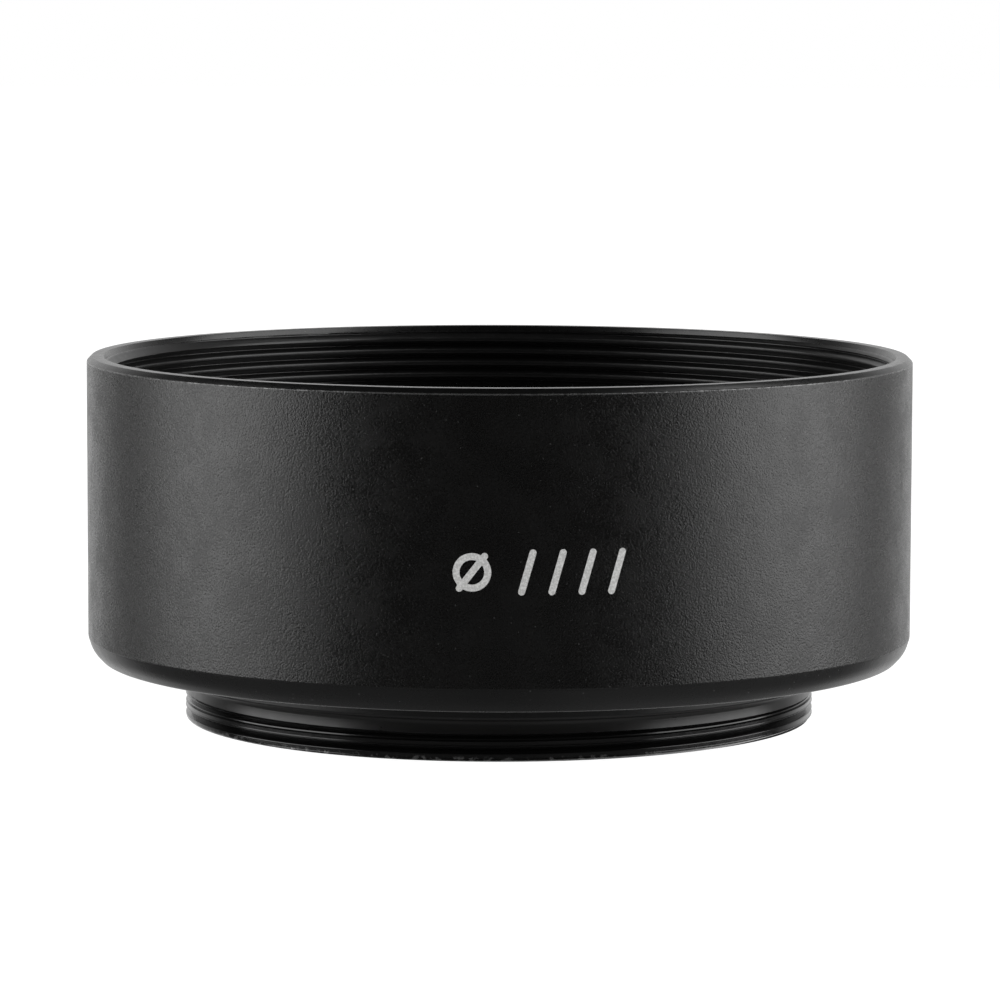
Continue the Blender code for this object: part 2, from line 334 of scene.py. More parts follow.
def male_corners(ring, pitch, middle):
    """One pitch around a sharp groove cut into the ring, lowest corner first.

    The lower edge of each crest stands proud of the rest of the crest by the lip, as a cutting tool leaves
    it, and the crest widens a little upwards.
    """
    half_open = male_opening(ring)
    lip_top = LIP_STEEPNESS * ring.crest_lip
    upper_radius = ring.thread_radius - ring.crest_lip
    corners = [
        (upper_radius, middle - half_open, 0.03 * MM),
        (ring.thread_radius - ring.thread_depth, middle, 0.0),
        (ring.thread_radius, middle + half_open, 0.02 * MM),
        (upper_radius - CREST_TAPER, middle + half_open + lip_top, 0.01 * MM),
    ]
    crest_width = pitch - 2 * half_open
    for step in range(LAST_CREST_ROWS):
        above = LAST_CREST + step * LAST_CREST_STEP
        share = (above - lip_top) / (crest_width - lip_top)
        corners.append((upper_radius - CREST_TAPER * (1 - share), middle + half_open + above, 0.0))
    return corners


def thread_surface(groove, thread, middle_at_zero, low, high):
    """A right-handed helical surface of repeated grooves, cut flat at the heights low and high."""
    pitch = thread.pitch
    first = math.floor((low - pitch - middle_at_zero) / pitch) - 1
    last = math.ceil((high - middle_at_zero) / pitch) + 1
    corners = []
    for turn in range(first, last + 1):
        corners += groove(middle_at_zero + turn * pitch)
    bm = turn_wire(corners, thread.segments, thread.round_steps, climb=pitch, long_cuts=FLANK_CUTS)
    for height, below in ((low, True), (high, False)):
        bmesh.ops.bisect_plane(
            bm,
            geom=[*bm.verts, *bm.edges, *bm.faces],
            dist=CUT_DISTANCE,
            plane_co=(0, 0, height),
            plane_no=(0, 0, 1),
            clear_inner=below,
            clear_outer=not below,
        )
    return bm


def push_radius(vert, radius):
    """Moves a corner straight towards the axis or away from it."""
    now = math.hypot(vert.co.x, vert.co.y)
    vert.co.x *= radius / now
    vert.co.y *= radius / now


def open_loops(bm, height):
    """The open loops that lie at one height, each as its corners in the order of their angle."""
    joined = {}
    for edge in bm.edges:
        if edge.is_boundary and all(abs(vert.co.z - height) < MERGE_DISTANCE for vert in edge.verts):
            first, second = edge.verts
            joined.setdefault(first, []).append(second)
            joined.setdefault(second, []).append(first)
    loops = []
    while joined:
        waiting = [next(iter(joined))]
        loop = []
        while waiting:
            vert = waiting.pop()
            if vert in joined:
                loop.append(vert)
                waiting += joined.pop(vert)
        loops.append(sorted(loop, key=lambda vert: math.atan2(vert.co.y, vert.co.x)))
    return loops


def turned_to(loop, i):
    """The angle of a loop's corner, counted on past a full turn."""
    laps, place = divmod(i, len(loop))
    corner = loop[place].co
    return math.atan2(corner.y, corner.x) + FULL_TURN * laps


def bridge_at(bm, height):
    """Joins the two open loops that lie at one height with a flat ring of triangles.

    The loops have different numbers of corners, so each triangle takes the corner that comes next around the
    axis, from whichever loop it is.
    """
    near, far = open_loops(bm, height)
    i = 0
    j = 0
    while i < len(near) or j < len(far):
        near_is_next = i < len(near) and turned_to(near, i + 1) < turned_to(far, j + 1)
        if near_is_next or j == len(far):
            bm.faces.new((near[i], near[(i + 1) % len(near)], far[j % len(far)]))
            i += 1
        else:
            bm.faces.new((near[i % len(near)], far[(j + 1) % len(far)], far[j]))
            j += 1


def finish_mesh(bm, name):
    """Closes the seams, turns the faces outwards and makes a smooth mesh with sharp edges."""
    bmesh.ops.remove_doubles(bm, verts=bm.verts, dist=MERGE_DISTANCE / 4)
    bmesh.ops.recalc_face_normals(bm, faces=bm.faces)
    mesh = bpy.data.meshes.new(name)
    bm.to_mesh(mesh)
    bm.free()
    mesh.shade_smooth()
    mesh.set_sharp_from_angle(angle=SHARP_ANGLE)
    return mesh


def link_object(name, mesh):
    """Adds an object with this mesh to the scene."""
    obj = bpy.data.objects.new(name, mesh)
    bpy.context.scene.collection.objects.link(obj)
    return obj


def place_piece(obj, material, node):
    """Gives a piece its finish and puts it in the place of its plain solid."""
    obj.data.materials.clear()
    obj.data.materials.append(material)
    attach(obj, "root")
    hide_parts(node)


def barrel_mesh(barrel, ring, thread):
    """The barrel: its front thread with a cone-shaped lead-in, then a turned shell around everything else."""
    crest_radius = barrel.thread_radius - barrel.thread_depth
    lead_in_bottom = barrel.rim - (barrel.lead_in_radius - crest_radius)
    relief_top = lead_in_bottom - barrel.thread_length + barrel.relief_width
    relief_bottom = relief_top - barrel.relief_width
    relief_radius = barrel.thread_radius + barrel.relief_extra
    taper_bottom = barrel.rim - barrel.taper_depth
    middle = relief_bottom + barrel.relief_width / 2 - thread.pitch * barrel.thread_start / FULL_TURN
    bm = thread_surface(
        lambda at: female_corners(barrel.thread_radius, crest_radius, at),
        thread,
        middle,
        relief_top,
        taper_bottom,
    )
    for vert in bm.verts:
        cone_radius = barrel.lead_in_radius - (taper_bottom - vert.co.z)
        if math.hypot(vert.co.x, vert.co.y) < cone_radius:
            push_radius(vert, cone_radius)
    hub_bore = ring.neck_radius + barrel.joint_gap
    shoulder = barrel.hub_bottom + barrel.hub_depth
    cylinder_start = shoulder + barrel.cone_height
    web_top = shoulder + barrel.web
    corners = [
        (relief_radius, relief_top, 0.0),
        (relief_radius, relief_bottom, 0.10 * MM),
        (barrel.bore_radius, relief_bottom, 0.06 * MM),
        (barrel.bore_radius, web_top, 0.50 * MM),
        (hub_bore, web_top, 0.08 * MM),
        (hub_bore, barrel.hub_bottom, 0.04 * MM),
        (barrel.hub_radius, barrel.hub_bottom, 0.18 * MM),
        (barrel.hub_radius, shoulder, 0.15 * MM),
        (barrel.body_radius - barrel.cone_inset, shoulder, 0.14 * MM),
        (barrel.body_radius - barrel.cone_bulge, shoulder + CONE_KNEE * barrel.cone_height, 0.30 * MM),
        (barrel.body_radius, cylinder_start, 0.10 * MM),
        (barrel.body_radius, barrel.rim - barrel.rim_chamfer, 0.05 * MM),
        (barrel.body_radius - barrel.rim_chamfer, barrel.rim, 0.04 * MM),
        (barrel.rim_inner_radius, barrel.rim, 0.04 * MM),
        (barrel.lead_in_radius + LEAD_IN_STEP, taper_bottom, 0.0),
    ]
    add_shell(bm, corners, thread.segments, thread.round_steps + 1)
    bridge_at(bm, relief_top)
    bridge_at(bm, taper_bottom)
    return finish_mesh(bm, "barrel")


def crest_limit(place, ring, thread, middle_at_zero):
    """The largest radius allowed at a place on the rear thread, by its end chamfer and by its relief.

    The last crest ends in a relief that climbs with the thread, from the back of the ring round to the back.
    """
    chamfered = ring.thread_radius - ring.end_chamfer + (place.z - ring.end_height)
    around = BACK + (math.atan2(place.y, place.x) - BACK) % FULL_TURN
    groove = middle_at_zero + thread.pitch * around / FULL_TURN
    crest_end = groove + male_opening(ring) + LAST_CREST
    past_end = place.z - crest_end
    relieved = ring.thread_radius
    if 0.0 < past_end < RELIEF_REACH:
        relieved -= ring.crest_lip + past_end * min(RELIEF_STEEPNESS, past_end / CREST_SOFTNESS)
    under_neck = ring.neck_radius - NECK_STEP + (ring.neck_start - place.z)
    return min(chamfered, relieved, under_neck)


def ring_mesh(ring, thread):
    """The mounting ring: its rear thread, then a turned shell around the neck, collar, flange and throat."""
    middle = ring.thread_phase - thread.pitch * ring.thread_start / FULL_TURN
    bm = thread_surface(
        lambda at: male_corners(ring, thread.pitch, at),
        thread,
        middle,
        ring.end_height,
        ring.neck_start,
    )
    for vert in bm.verts:
        limit = crest_limit(vert.co, ring, thread, middle)
        if math.hypot(vert.co.x, vert.co.y) > limit:
            push_radius(vert, limit)
    flange_bottom = ring.flange_top - ring.flange_thickness
    collar_radius = ring.neck_radius + ring.collar_reach
    collar_top = ring.collar_bottom + COLLAR_THICKNESS
    corners = [
        (ring.neck_radius, ring.neck_start, 0.0),
        (ring.neck_radius, ring.collar_bottom, ring.collar_fillet),
        (collar_radius, ring.collar_bottom, 0.0),
        (collar_radius, collar_top, 0.0),
        (ring.neck_radius, collar_top, 0.0),
        (ring.neck_radius, flange_bottom, 0.06 * MM),
        (ring.flange_radius, flange_bottom, 0.08 * MM),
        (ring.flange_radius, ring.flange_top, 0.12 * MM),
        (ring.throat_radius + ring.flange_chamfer, ring.flange_top, 0.06 * MM),
        (ring.throat_radius, ring.flange_top - ring.flange_chamfer, 0.06 * MM),
        (ring.throat_radius, ring.end_height, 0.12 * MM),
        (ring.thread_radius - ring.thread_depth - END_LAND, ring.end_height, 0.0),
    ]
    add_shell(bm, corners, thread.segments, thread.round_steps + 1)
    bridge_at(bm, ring.neck_start)
    bridge_at(bm, ring.end_height)
    return finish_mesh(bm, "ring")


def stroke_solid(bm, mark, low, high):
    """An upright bar with round ends, reaching from low to high along -Y."""
    half = (mark.height - mark.stroke) / 2
    outline = []
    for centre, first in ((half, 0.0), (-half, math.pi)):
        for i in range(STROKE_END_STEPS + 1):
            turn = first + math.pi * i / STROKE_END_STEPS
            x = mark.stroke / 2 * math.cos(turn)
            outline.append(bm.verts.new((x, -low, centre + mark.stroke / 2 * math.sin(turn))))
    face = bm.faces.new(outline)
    pushed = bmesh.ops.extrude_face_region(bm, geom=[face])
    moved = [item for item in pushed["geom"] if isinstance(item, bmesh.types.BMVert)]
    bmesh.ops.translate(bm, verts=moved, vec=(0, low - high, 0))


def ring_solid(bm, mark, low, high):
    """The round part of the diameter sign, as a square-edged ring around the Y axis."""
    inner = mark.ring_radius - mark.stroke / 2
    outer = mark.ring_radius + mark.stroke / 2
    corners = [(inner, -low), (outer, -low), (outer, -high), (inner, -high)]
    verts = [bm.verts.new((radius, y, 0.0)) for radius, y in corners]
    edges = [bm.edges.new((verts[i - 1], verts[i])) for i in range(len(verts))]
    bmesh.ops.spin(
        bm,
        geom=[*verts, *edges],
        cent=(0, 0, 0),
        axis=(0, 1, 0),
        angle=FULL_TURN,
        steps=SIGN_STEPS,
        use_merge=True,
    )


def glyph(name, build, tilt, around, height):
    """A glyph object, leaning by tilt, carried round the barrel to its angle and height."""
    bm = bmesh.new()
    build(bm)
    bmesh.ops.rotate(bm, verts=bm.verts, cent=(0, 0, 0), matrix=Matrix.Rotation(tilt, 3, "Y"))
    bmesh.ops.rotate(bm, verts=bm.verts, cent=(0, 0, 0), matrix=Matrix.Rotation(around + math.pi / 2, 3, "Z"))
    bmesh.ops.translate(bm, verts=bm.verts, vec=(0, 0, height))
    bmesh.ops.recalc_face_normals(bm, faces=bm.faces)
    mesh = bpy.data.meshes.new(name)
    bm.to_mesh(mesh)
    bm.free()
    return link_object(name, mesh)


def apply_booleans(obj, steps):
    """Applies Booleans, given as (operation, other object) pairs, in order."""
    for operation, other in steps:
        modifier = obj.modifiers.new(operation.lower(), "BOOLEAN")
        modifier.operation = operation
        modifier.object = other
        modifier.solver = "EXACT"
    graph = bpy.context.evaluated_depsgraph_get()
    mesh = bpy.data.meshes.new_from_object(obj.evaluated_get(graph))
    obj.modifiers.clear()
    obj.data = mesh
    mesh.shade_smooth()
    mesh.set_sharp_from_angle(angle=SHARP_ANGLE)


def surface_band(barrel, mark, thread):
    """A thin band around the barrel's surface, which gives the paint its curved faces."""
    bm = bmesh.new()
    inner = barrel.body_radius - mark.depth
    outer = barrel.body_radius + mark.proud
    low = SIGN_LOW.z - mark.height
    high = SIGN_HIGH.z + mark.height
    corners = [(inner, low), (outer, low), (outer, high), (inner, high)]
    verts = [bm.verts.new((radius, 0.0, height)) for radius, height in corners]
    edges = [bm.edges.new((verts[i - 1], verts[i])) for i in range(len(verts))]
    bmesh.ops.spin(
        bm,
        geom=[*verts, *edges],
        cent=(0, 0, 0),
        axis=(0, 0, 1),
        angle=FULL_TURN,
        steps=thread.segments,
        use_merge=True,
    )
    return link_object("surface_band", finish_mesh(bm, "surface_band"))


def node_place(node):
    """The angle around the axis and the height of a mark node's middle."""
    low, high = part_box(node)
    middle = (low + high) / 2
    return math.atan2(middle.y, middle.x), middle.z


# ---------------------------------------------------------------- finishes


def new_group(name, inputs, outputs):
    """A shader node group with float inputs {name: default} and the named outputs."""
    group = bpy.data.node_groups.new(name, "ShaderNodeTree")
    for label, default in inputs.items():
        socket = group.interface.new_socket(name=label, in_out="INPUT", socket_type="NodeSocketFloat")
        socket.default_value = default
    for label in outputs:
        group.interface.new_socket(name=label, in_out="OUTPUT", socket_type="NodeSocketFloat")
    return group, group.nodes.new("NodeGroupInput"), group.nodes.new("NodeGroupOutput")


def math_node(tree, operation, *values):
    """The output of a Math node whose inputs are numbers or sockets."""
    node = tree.nodes.new("ShaderNodeMath")
    node.operation = operation
    for socket, value in zip(node.inputs, values):
        if isinstance(value, (int, float)):
            socket.default_value = value
        else:
            tree.links.new(value, socket)
    return node.outputs[0]


def object_coordinates(tree):
    """Sockets for the position, the radius from the axis and the height, in the piece's own space."""
    position = tree.nodes.new("ShaderNodeTexCoord").outputs["Object"]
    split = tree.nodes.new("ShaderNodeSeparateXYZ")
    tree.links.new(position, split.inputs[0])
    x, y, z = split.outputs
    squares = math_node(tree, "ADD", math_node(tree, "POWER", x, 2.0), math_node(tree, "POWER", y, 2.0))
    return position, math_node(tree, "SQRT", squares), z


def noise(tree, vector, scale, detail, roughness):
    """The output of a Noise node, whose scale is a number or a socket."""
    node = tree.nodes.new("ShaderNodeTexNoise")
    node.inputs["Detail"].default_value = detail
    node.inputs["Roughness"].default_value = roughness
    tree.links.new(vector, node.inputs["Vector"])
    if isinstance(scale, (int, float)):
        node.inputs["Scale"].default_value = scale
    else:
        tree.links.new(scale, node.inputs["Scale"])
    return node.outputs[0]


def ramp(tree, value, low, high, out_low=0.0, out_high=1.0):
    """A smooth step from out_low, where the value is low, to out_high, where it is high."""
    node = tree.nodes.new("ShaderNodeMapRange")
    node.interpolation_type = "SMOOTHSTEP"
    for label, amount in (("From Min", low), ("From Max", high), ("To Min", out_low), ("To Max", out_high)):
        if isinstance(amount, (int, float)):
            node.inputs[label].default_value = amount
        else:
            tree.links.new(amount, node.inputs[label])
    tree.links.new(value, node.inputs["Value"])
    return node.outputs[0]


def make_grain_group():
    """Bead-blasted grain: rounded pits with a finer roughness on top, sparse specks, and slow patches."""
    group, given, out = new_group("blasted_grain", {"Size": 0.00025}, ["Height", "Speck", "Patch"])
    position, _, _ = object_coordinates(group)
    per_metre = math_node(group, "DIVIDE", 1.0, given.outputs["Size"])
    pits = noise(group, position, per_metre, detail=1.5, roughness=0.55)
    finer = math_node(group, "MULTIPLY", per_metre, 2.6)
    fine = noise(group, position, finer, detail=1.0, roughness=0.5)
    height = math_node(group, "ADD", pits, math_node(group, "MULTIPLY", fine, 0.35))
    cells = group.nodes.new("ShaderNodeTexVoronoi")
    group.links.new(position, cells.inputs["Vector"])
    group.links.new(math_node(group, "MULTIPLY", per_metre, 0.8), cells.inputs["Scale"])
    chosen = group.nodes.new("ShaderNodeSeparateColor")
    group.links.new(cells.outputs["Color"], chosen.inputs[0])
    rare = math_node(group, "GREATER_THAN", chosen.outputs[0], 0.985)
    dot = ramp(group, cells.outputs["Distance"], low=0.30, high=0.16)
    coarser = math_node(group, "MULTIPLY", per_metre, 0.05)
    patch = noise(group, position, coarser, detail=2.0, roughness=0.5)
    group.links.new(height, out.inputs["Height"])
    group.links.new(math_node(group, "MULTIPLY", rare, dot), out.inputs["Speck"])
    group.links.new(patch, out.inputs["Patch"])
    return group


def make_turned_group():
    """Fine concentric lines left by the lathe, as a height that changes with radius and height only."""
    group, given, out = new_group("lathe_lines", {"Spacing": 0.0001}, ["Height", "Streak"])
    position, radius, height = object_coordinates(group)
    join = group.nodes.new("ShaderNodeCombineXYZ")
    group.links.new(radius, join.inputs[0])
    group.links.new(height, join.inputs[1])
    per_metre = math_node(group, "DIVIDE", 1.0, given.outputs["Spacing"])
    lines = noise(group, join.outputs[0], per_metre, detail=1.0, roughness=0.6)
    coarser = math_node(group, "MULTIPLY", per_metre, 0.12)
    streak = noise(group, position, coarser, detail=2.0, roughness=0.6)
    group.links.new(lines, out.inputs["Height"])
    group.links.new(streak, out.inputs["Streak"])
    return group


def make_wear_group():
    """Bare metal along one turned edge: a ring at a radius and height, broken up by noise."""
    group, given, out = new_group(
        "edge_wear", {"Radius": 0.024, "Height": 0.021, "Width": 0.00008, "Amount": 0.5}, ["Mask"]
    )
    position, radius, height = object_coordinates(group)
    away_radius = math_node(group, "SUBTRACT", radius, given.outputs["Radius"])
    away_height = math_node(group, "SUBTRACT", height, given.outputs["Height"])
    square_radius = math_node(group, "POWER", away_radius, 2.0)
    square_height = math_node(group, "POWER", away_height, 2.0)
    distance = math_node(group, "SQRT", math_node(group, "ADD", square_radius, square_height))
    near = ramp(group, distance, low=given.outputs["Width"], high=0.0)
    broken = noise(group, position, 2600.0, detail=3.0, roughness=0.65)
    wear_start = math_node(group, "SUBTRACT", 0.72, given.outputs["Amount"])
    patchy = ramp(group, broken, low=wear_start, high=0.72)
    group.links.new(math_node(group, "MULTIPLY", near, patchy), out.inputs["Mask"])
    return group


def new_material(name):
    """A new material, its node tree and its shader."""
    material = bpy.data.materials.new(name)
    material.use_nodes = True
    return material, material.node_tree, material.node_tree.nodes["Principled BSDF"]


def group_node(tree, group, **values):
    """A node that uses a shared group, with its inputs set by name."""
    node = tree.nodes.new("ShaderNodeGroup")
    node.node_tree = group
    for label, value in values.items():
        node.inputs[label].default_value = value
    return node


def mix_colour(tree, share, first, second):
    """The first colour where share is 0, the second where it is 1."""
    node = tree.nodes.new("ShaderNodeMix")
    node.data_type = "RGBA"
    tree.links.new(share, node.inputs["Factor"])
    for socket, value in ((node.inputs[6], first), (node.inputs[7], second)):
        if isinstance(value, bpy.types.NodeSocket):
            tree.links.new(value, socket)
        else:
            socket.default_value = (*value, 1.0)
    return node.outputs[2]


def mix_value(tree, share, first, second):
    """The first value where share is 0, the second where it is 1."""
    rest = math_node(tree, "SUBTRACT", 1.0, share)
    part_first = math_node(tree, "MULTIPLY", first, rest)
    part_second = math_node(tree, "MULTIPLY", second, share)
    return math_node(tree, "ADD", part_second, part_first)


def add_bump(tree, shader, height, distance):
    """Gives a shader bumps of this height, scaled to a distance in metres."""
    node = tree.nodes.new("ShaderNodeBump")
    node.inputs["Distance"].default_value = distance
    tree.links.new(height, node.inputs["Height"])
    tree.links.new(node.outputs["Normal"], shader.inputs["Normal"])


def worn_edges(tree, group, edges):
    """The strongest of several edge masks, each for a (radius, height, width, amount) edge."""
    mask = None
    for radius, height, width, amount in edges:
        node = group_node(tree, group, Radius=radius, Height=height, Width=width, Amount=amount)
        found = node.outputs["Mask"]
        mask = found if mask is None else math_node(tree, "MAXIMUM", mask, found)
    return mask


def barrel_material(barrel, finish, groups):
    """Blasted outer wall, smooth turned rim, cone, threads and bore, with worn rim edges."""
    material, tree, shader = new_material("black_anodised_barrel")
    grain = group_node(tree, groups["grain"], Size=finish.grain)
    lathe = group_node(tree, groups["lathe"], Spacing=0.09 * MM)
    _, radius, height = object_coordinates(tree)
    cylinder_start = barrel.hub_bottom + barrel.hub_depth + barrel.cone_height
    outside = ramp(tree, radius, barrel.body_radius - 0.05 * MM, barrel.body_radius - 0.01 * MM)
    above = ramp(tree, height, cylinder_start - 0.02 * MM, cylinder_start + 0.05 * MM)
    wall = math_node(tree, "MULTIPLY", outside, above)
    wear = worn_edges(
        tree,
        groups["wear"],
        [
            (barrel.body_radius, barrel.rim - barrel.rim_chamfer, 0.07 * MM, 0.50),
            (barrel.body_radius - barrel.rim_chamfer, barrel.rim, 0.05 * MM, 0.22),
        ],
    )
    inside = ramp(tree, radius, barrel.lead_in_radius - 0.03 * MM, barrel.lead_in_radius - 0.12 * MM)
    glint = math_node(tree, "MULTIPLY", grain.outputs["Speck"], mix_value(tree, inside, 0.5, 1.0))
    bare = math_node(tree, "MAXIMUM", wear, glint)
    base = mix_colour(tree, wall, finish.turned, finish.wall)
    tree.links.new(mix_colour(tree, bare, base, finish.wear), shader.inputs["Base Color"])
    tree.links.new(bare, shader.inputs["Metallic"])
    weighted_grain = math_node(tree, "MULTIPLY", grain.outputs["Height"], GRAIN_WEIGHT)
    uneven = math_node(tree, "ADD", grain.outputs["Patch"], weighted_grain)
    spread = math_node(tree, "MULTIPLY", uneven, WALL_UNEVENNESS)
    wall_rough = math_node(tree, "ADD", finish.wall_roughness - WALL_UNEVENNESS * UNEVEN_MIDDLE, spread)
    turned_low = finish.turned_roughness - TURNED_STEP
    turned_high = finish.turned_roughness + TURNED_STEP
    turned_base = mix_value(tree, inside, turned_low, turned_high)
    streaks = math_node(tree, "MULTIPLY", lathe.outputs["Streak"], TURNED_STREAKS)
    turned_rough = math_node(tree, "ADD", turned_base, streaks)
    rough = mix_value(tree, wall, turned_rough, wall_rough)
    speck = math_node(tree, "MULTIPLY", grain.outputs["Speck"], mix_value(tree, wall, inside, 1.0))
    rough = mix_value(tree, speck, rough, SPECK_ROUGHNESS)
    rough = mix_value(tree, wear, rough, WORN_ROUGHNESS)
    tree.links.new(rough, shader.inputs["Roughness"])
    lines = math_node(tree, "MULTIPLY", lathe.outputs["Height"], LINE_HEIGHT)
    bump = mix_value(tree, wall, lines, grain.outputs["Height"])
    add_bump(tree, shader, bump, finish.grain_depth)
    return material


def ring_material(ring, finish, groups):
    """Satin turned neck and flange with glossy thread flanks, and bare glints at the thread's end."""
    material, tree, shader = new_material("black_satin_ring")
    lathe = group_node(tree, groups["lathe"], Spacing=0.07 * MM)
    _, radius, height = object_coordinates(tree)
    neck = ramp(tree, height, ring.neck_start - 0.06 * MM, ring.neck_start)
    wear_radius = ring.thread_radius - ring.end_chamfer / 2
    wear_height = ring.end_height + ring.end_chamfer / 2
    wear = worn_edges(tree, groups["wear"], [(wear_radius, wear_height, 0.30 * MM, 0.22)])
    base = mix_colour(tree, neck, finish.turned, finish.wall)
    tree.links.new(mix_colour(tree, wear, base, finish.wear), shader.inputs["Base Color"])
    tree.links.new(wear, shader.inputs["Metallic"])
    streaks = math_node(tree, "MULTIPLY", lathe.outputs["Streak"], RING_STREAKS)
    flank_rough = math_node(tree, "ADD", FLANK_ROUGHNESS, streaks)
    neck_rough = math_node(tree, "ADD", NECK_ROUGHNESS, streaks)
    tree.links.new(mix_value(tree, neck, flank_rough, neck_rough), shader.inputs["Roughness"])
    add_bump(tree, shader, lathe.outputs["Height"], RING_LINE_DEPTH)
    return material


def paint_material(finish, groups):
    """Matte paint with a fine uneven grain."""
    material, tree, shader = new_material("mark_paint")
    grain = group_node(tree, groups["grain"], Size=0.12 * MM)
    darker = tuple(PAINT_SHADE * part for part in finish.paint)
    share = ramp(tree, grain.outputs["Height"], low=0.55, high=0.85)
    tree.links.new(mix_colour(tree, share, darker, tuple(finish.paint)), shader.inputs["Base Color"])
    shader.inputs["Roughness"].default_value = PAINT_ROUGHNESS
    add_bump(tree, shader, grain.outputs["Height"], PAINT_GRAIN_DEPTH)
    return material


def shared_groups():
    """The node groups that the finishes share, built once."""
    makers = {
        "grain": ("blasted_grain", make_grain_group),
        "lathe": ("lathe_lines", make_turned_group),
        "wear": ("edge_wear", make_wear_group),
    }
    return {key: bpy.data.node_groups.get(name) or make() for key, (name, make) in makers.items()}


# ---------------------------------------------------------------- operators


class LENSHOOD_OT_barrel(bpy.types.Operator):
    """Models the barrel with its front thread and gives it its finish"""

    bl_idname = "lens_hood.barrel"
    bl_label = "Barrel"

    def execute(self, context):
        scene = context.scene
        mesh = barrel_mesh(scene.hood_barrel, scene.hood_ring, scene.hood_thread)
        piece = link_object("barrel", mesh)
        material = barrel_material(scene.hood_barrel, scene.hood_finishes, shared_groups())
        place_piece(piece, material, "hood_barrel")
        return {"FINISHED"}


class LENSHOOD_OT_ring(bpy.types.Operator):
    """Models the mounting ring with its rear thread and gives it its finish"""

    bl_idname = "lens_hood.ring"
    bl_label = "Mounting ring"

    def execute(self, context):
        scene = context.scene
        piece = link_object("threaded_ring", ring_mesh(scene.hood_ring, scene.hood_thread))
        material = ring_material(scene.hood_ring, scene.hood_finishes, shared_groups())
        place_piece(piece, material, "mounting_ring")
        return {"FINISHED"}


class LENSHOOD_OT_mark(bpy.types.Operator):
    """Models the painted size mark: a diameter sign and slanted thread strokes"""

    bl_idname = "lens_hood.mark"
    bl_label = "Size mark"

    def execute(self, context):
        scene = context.scene
        mark = scene.hood_mark
        band = surface_band(scene.hood_barrel, mark, scene.hood_thread)
        low = scene.hood_barrel.body_radius - GLYPH_REACH
        high = scene.hood_barrel.body_radius + GLYPH_REACH
        material = paint_material(scene.hood_finishes, shared_groups())

        def stroke(bm):
            stroke_solid(bm, mark, low, high)

        around, height = node_place("mark_diameter_sign")
        sign = glyph("sign_paint", stroke, mark.slash_tilt, around, height)
        ring = glyph("sign_ring", lambda bm: ring_solid(bm, mark, low, high), 0.0, around, height)
        apply_booleans(sign, [("UNION", ring), ("INTERSECT", band)])
        bpy.data.objects.remove(ring)
        place_piece(sign, material, "mark_diameter_sign")
        for node in TICK_NODES:
            around, height = node_place(node)
            tick = glyph(f"{node}_paint", stroke, mark.tick_tilt, around, height)
            apply_booleans(tick, [("INTERSECT", band)])
            place_piece(tick, material, node)
        bpy.data.objects.remove(band)
        return {"FINISHED"}


class LENSHOOD_OT_stage(bpy.types.Operator):
    """Adds the floor, the soft lights, the white surroundings and the camera"""

    bl_idname = "lens_hood.stage"
    bl_label = "Stage"

    def execute(self, context):
        stage = context.scene.hood_stage
        add_floor(stage)
        for name, degrees in SOFT_LIGHTS.items():
            angles = [math.radians(value) for value in degrees]
            add_soft_light(name, stage, *angles, getattr(stage, name))
        set_surroundings(context.scene, stage)
        add_camera(context.scene, stage)
        return {"FINISHED"}


def add_floor(stage):
    """A pale floor without shadows, so that the hood stands on plain white."""
    bm = bmesh.new()
    bmesh.ops.create_circle(bm, cap_ends=True, segments=FLOOR_SIDES, radius=FLOOR_RADIUS)
    mesh = bpy.data.meshes.new("floor")
    bm.to_mesh(mesh)
    bm.free()
    floor = link_object("floor", mesh)
    floor.visible_glossy = False
    floor.visible_shadow = False
    material, _, shader = new_material("floor_paper")
    shader.inputs["Base Color"].default_value = (*stage.floor, 1.0)
    shader.inputs["Roughness"].default_value = 0.9
    shader.inputs["Specular IOR Level"].default_value = 0.0
    shader.inputs["Emission Color"].default_value = (1.0, 1.0, 1.0, 1.0)
    shader.inputs["Emission Strength"].default_value = 1.0
    mesh.materials.append(material)


def add_soft_light(name, stage, bearing, low, high, spread, brightness):
    """An upright soft light that faces the hood and spans the elevations low to high and twice the spread."""
    away = stage.light_distance
    bottom = away * math.tan(low)
    top = away * math.tan(high)
    width = 2 * away * math.tan(spread)
    data = bpy.data.lights.new(name, "AREA")
    data.shape = "RECTANGLE"
    data.size = width
    data.size_y = top - bottom
    data.energy = brightness * math.pi * width * (top - bottom)
    lamp = bpy.data.objects.new(name, data)
    lamp.location = (away * math.sin(bearing), -away * math.cos(bearing), (top + bottom) / 2)
    lamp.rotation_euler = (math.radians(90), 0, bearing)
    bpy.context.scene.collection.objects.link(lamp)


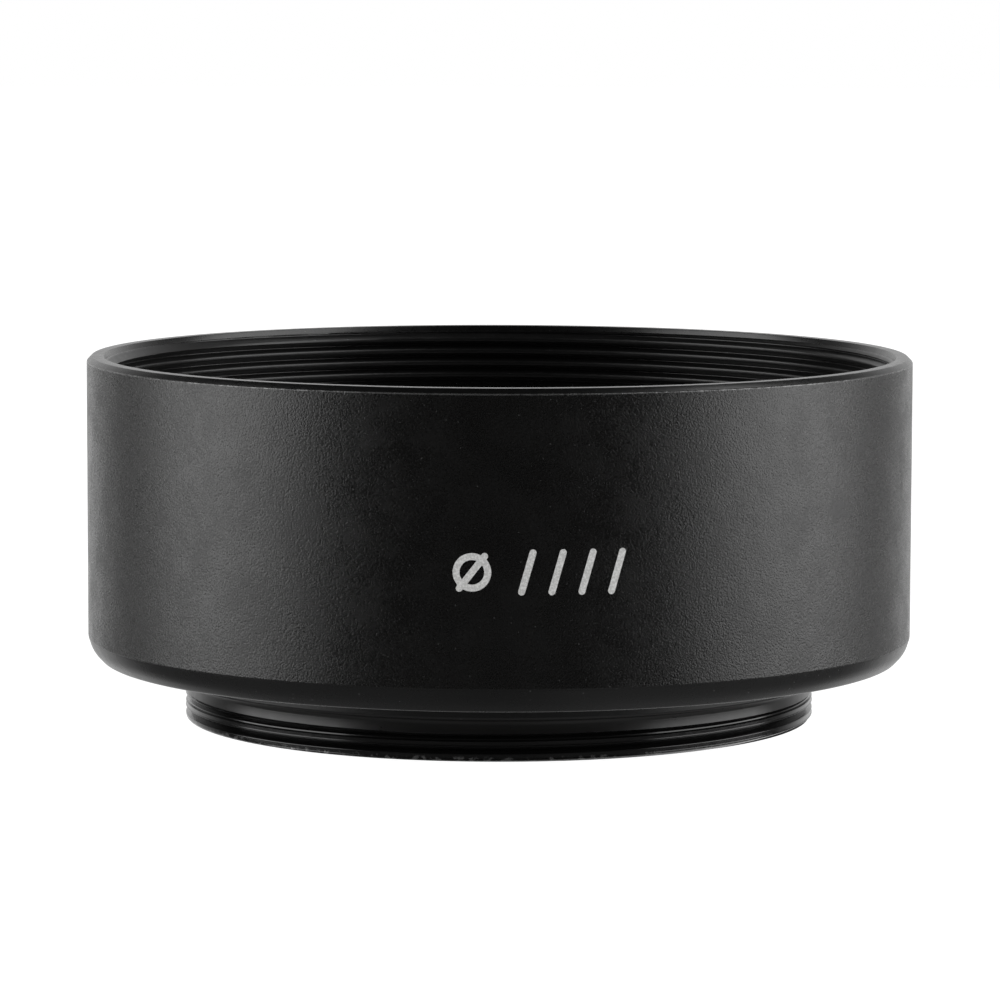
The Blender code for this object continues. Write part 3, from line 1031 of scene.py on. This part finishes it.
def set_surroundings(scene, stage):
    """White behind the hood, dim in front and below it, and plain white where the camera sees it directly."""
    world = bpy.data.worlds.new("surroundings")
    scene.world = world
    world.use_nodes = True
    tree = world.node_tree
    background = tree.nodes["Background"]
    direction = tree.nodes.new("ShaderNodeTexCoord").outputs["Generated"]
    split = tree.nodes.new("ShaderNodeSeparateXYZ")
    tree.links.new(direction, split.inputs[0])
    x, y, z = split.outputs
    behind = ramp(tree, y, low=0.47, high=0.94, out_low=stage.front_light, out_high=stage.backdrop_light)
    level = ramp(tree, z, low=0.30, high=0.70, out_low=1.0, out_high=0.25)
    under = ramp(tree, z, low=-0.15, high=-0.75)
    left_below = 1.6 * stage.below_light
    leftward = ramp(tree, x, low=-0.05, high=-0.35, out_low=stage.below_light, out_high=left_below)
    rightward = ramp(tree, x, low=0.05, high=0.35, out_low=1.0, out_high=2.5)
    below = math_node(tree, "MULTIPLY", under, math_node(tree, "MULTIPLY", leftward, rightward))
    glow = math_node(tree, "ADD", math_node(tree, "MULTIPLY", behind, level), below)
    seen = tree.nodes.new("ShaderNodeLightPath").outputs["Is Camera Ray"]
    tree.links.new(mix_value(tree, seen, glow, 1.0), background.inputs["Strength"])
    background.inputs["Color"].default_value = (1.0, 1.0, 1.0, 1.0)


def add_camera(scene, stage):
    """The camera, in front of the hood and a little above it, turned slightly about its own axis."""
    aim = Vector((stage.aim_x, 0.0, stage.aim_z))
    back = Vector((0.0, -math.cos(stage.elevation), math.sin(stage.elevation)))
    up = Vector((0.0, math.sin(stage.elevation), math.cos(stage.elevation)))
    right = Vector((1.0, 0.0, 0.0))
    rolled_right = right * math.cos(stage.roll) + up * math.sin(stage.roll)
    rolled_up = up * math.cos(stage.roll) - right * math.sin(stage.roll)
    data = bpy.data.cameras.new("camera")
    data.lens = stage.lens
    data.sensor_width = SENSOR_WIDTH
    data.clip_start = NEAREST_SEEN
    camera = bpy.data.objects.new("camera", data)
    turned = Matrix((rolled_right, rolled_up, back)).transposed().to_4x4()
    camera.matrix_world = Matrix.Translation(aim + back * stage.distance) @ turned
    scene.collection.objects.link(camera)
    scene.camera = camera
    scene.view_settings.view_transform = "Standard"


class LENSHOOD_PT_sidebar(bpy.types.Panel):
    """Lists the hood's pieces and its stage"""

    bl_idname = "LENSHOOD_PT_sidebar"
    bl_label = "Lens hood"
    bl_space_type = "VIEW_3D"
    bl_region_type = "UI"
    bl_category = "Lens hood"

    def draw(self, context):
        layout = self.layout
        for operator in OPERATORS:
            layout.operator(operator.bl_idname)
        for name in SETTINGS:
            group = getattr(context.scene, name)
            box = layout.box()
            for field in SETTINGS[name].__annotations__:
                box.prop(group, field)


OPERATORS = (LENSHOOD_OT_barrel, LENSHOOD_OT_ring, LENSHOOD_OT_mark, LENSHOOD_OT_stage)
SETTINGS = {
    "hood_thread": ThreadSizes,
    "hood_barrel": BarrelSizes,
    "hood_ring": RingSizes,
    "hood_mark": MarkSizes,
    "hood_finishes": Finishes,
    "hood_stage": StageSettings,
}
CLASSES = (*SETTINGS.values(), *OPERATORS, LENSHOOD_PT_sidebar)


def register():
    for cls in CLASSES:
        bpy.utils.register_class(cls)
    for name, cls in SETTINGS.items():
        setattr(bpy.types.Scene, name, PointerProperty(type=cls))


def unregister():
    for name in SETTINGS:
        delattr(bpy.types.Scene, name)
    for cls in reversed(CLASSES):
        bpy.utils.unregister_class(cls)


def main():
    """Registers the classes and models every piece and the stage."""
    register()
    bpy.ops.lens_hood.barrel()
    bpy.ops.lens_hood.ring()
    bpy.ops.lens_hood.mark()
    bpy.ops.lens_hood.stage()


if __name__ == "__main__":
    main()
